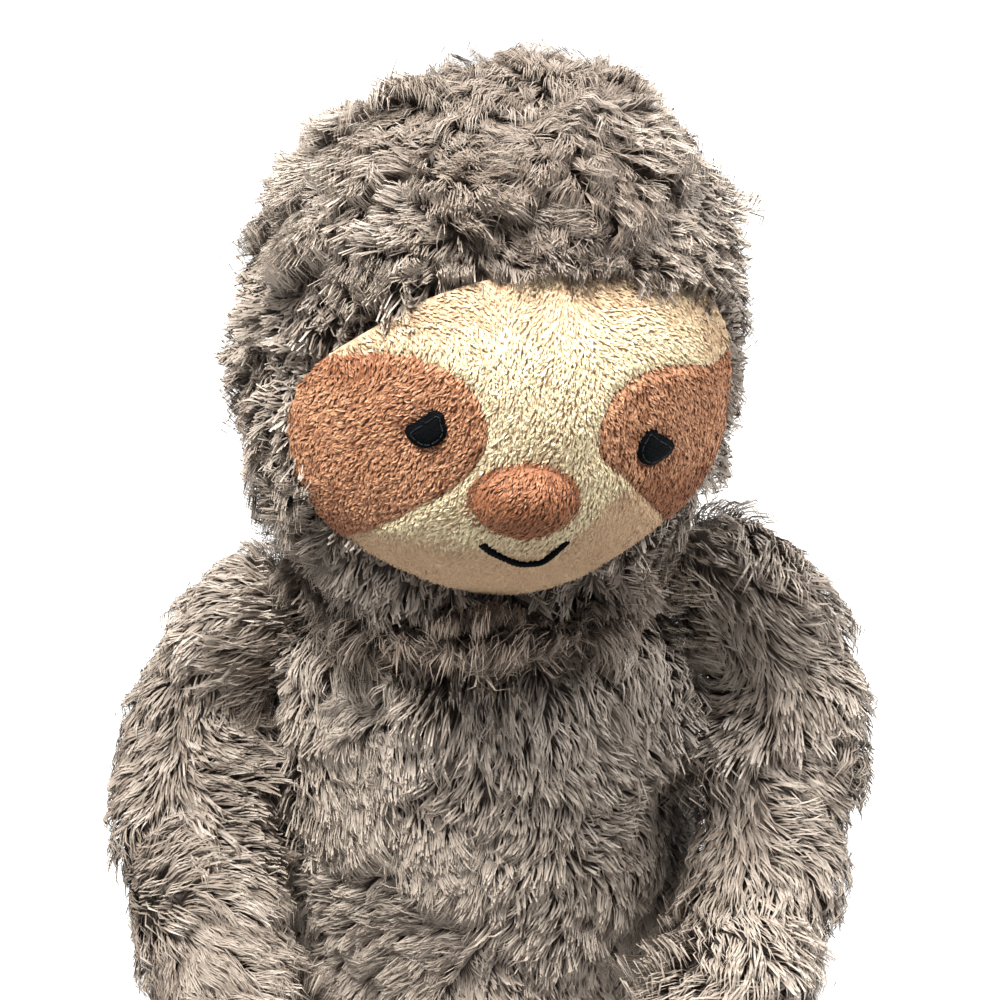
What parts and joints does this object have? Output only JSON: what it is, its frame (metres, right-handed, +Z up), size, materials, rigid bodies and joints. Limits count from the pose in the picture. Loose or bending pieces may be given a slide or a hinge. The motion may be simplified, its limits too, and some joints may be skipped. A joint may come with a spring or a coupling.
{
  "type": "plush sloth",
  "caption": "Seated plush sloth with long shaggy grey fur, a short-nap face with a padded nose, soft claws, and a head and limbs that turn on the stuffed body.",
  "frame": {"origin": "middle of the flat seat, on the surface that the sloth sits on", "axes": "+Z up; the sloth looks along -Y and its own right side is on -X, the viewer's left"},
  "size_m": [0.2551, 0.3023, 0.3804],
  "materials": {
    "long_pile_fur": "long matted pile, grey-brown with pale tips",
    "cream_short_nap": "short wavy nap, cream",
    "brown_short_nap": "short wavy nap, orange-brown",
    "black_thread": "satin stitch",
    "polyester_stuffing": "loose fibre",
    "pouch_cloth": "plain weave"
  },
  "bodies": {
    "torso": {"body_front_panel": "long_pile_fur", "body_back_panel": "long_pile_fur", "body_filling": "polyester_stuffing", "pellet_pouch": "pouch_cloth"},
    "neck": {"neck_filling": "polyester_stuffing", "neck_collar": "long_pile_fur"},
    "head": {"head_crown_panel": "long_pile_fur", "head_left_panel": "long_pile_fur", "head_right_panel": "long_pile_fur", "head_throat_panel": "long_pile_fur", "head_filling": "polyester_stuffing", "face_panel": "cream_short_nap", "eye_patch_left": "brown_short_nap", "eye_patch_right": "brown_short_nap", "nose": "brown_short_nap", "eye_left": "black_thread", "eye_right": "black_thread", "mouth": "black_thread"},
    "arm_left": {"arm_left_outer_panel": "long_pile_fur", "arm_left_inner_panel": "long_pile_fur", "arm_left_filling": "polyester_stuffing", "arm_left_claw_1": "brown_short_nap", "arm_left_claw_2": "brown_short_nap", "arm_left_claw_3": "brown_short_nap"},
    "arm_right": {"arm_right_outer_panel": "long_pile_fur", "arm_right_inner_panel": "long_pile_fur", "arm_right_filling": "polyester_stuffing", "arm_right_claw_1": "brown_short_nap", "arm_right_claw_2": "brown_short_nap", "arm_right_claw_3": "brown_short_nap"},
    "leg_left": {"leg_left_top_panel": "long_pile_fur", "leg_left_sole_panel": "long_pile_fur", "leg_left_filling": "polyester_stuffing", "leg_left_claw_1": "brown_short_nap", "leg_left_claw_2": "brown_short_nap", "leg_left_claw_3": "brown_short_nap"},
    "leg_right": {"leg_right_top_panel": "long_pile_fur", "leg_right_sole_panel": "long_pile_fur", "leg_right_filling": "polyester_stuffing", "leg_right_claw_1": "brown_short_nap", "leg_right_claw_2": "brown_short_nap", "leg_right_claw_3": "brown_short_nap"}
  },
  "joints": [
    {"name": "head_turn", "type": "hinge", "parent": "torso", "child": "neck", "pos_m": [0, 0, 0.208], "axis": [0, 0, 1], "range_deg": [-30, 30]},
    {"name": "head_nod", "type": "hinge", "parent": "neck", "child": "head", "pos_m": [0, 0, 0.208], "axis": [0.9877, 0.1564, 0], "range_deg": [-12, 12], "deforming": ["neck_collar"]},
    {"name": "arm_left_swing", "type": "hinge", "parent": "torso", "child": "arm_left", "pos_m": [-0.089, 0.004, 0.178], "axis": [-0.9063, 0, -0.4226], "range_deg": [0, 75]},
    {"name": "arm_right_swing", "type": "hinge", "parent": "torso", "child": "arm_right", "pos_m": [0.089, 0.004, 0.185], "axis": [-0.9063, 0, 0.4226], "range_deg": [0, 75]},
    {"name": "leg_left_swing", "type": "hinge", "parent": "torso", "child": "leg_left", "pos_m": [-0.045, -0.05, 0.0273], "axis": [1, 0, 0], "range_deg": [0, 65]},
    {"name": "leg_right_swing", "type": "hinge", "parent": "torso", "child": "leg_right", "pos_m": [0.045, -0.05, 0.0273], "axis": [1, 0, 0], "range_deg": [0, 65]}
  ]
}
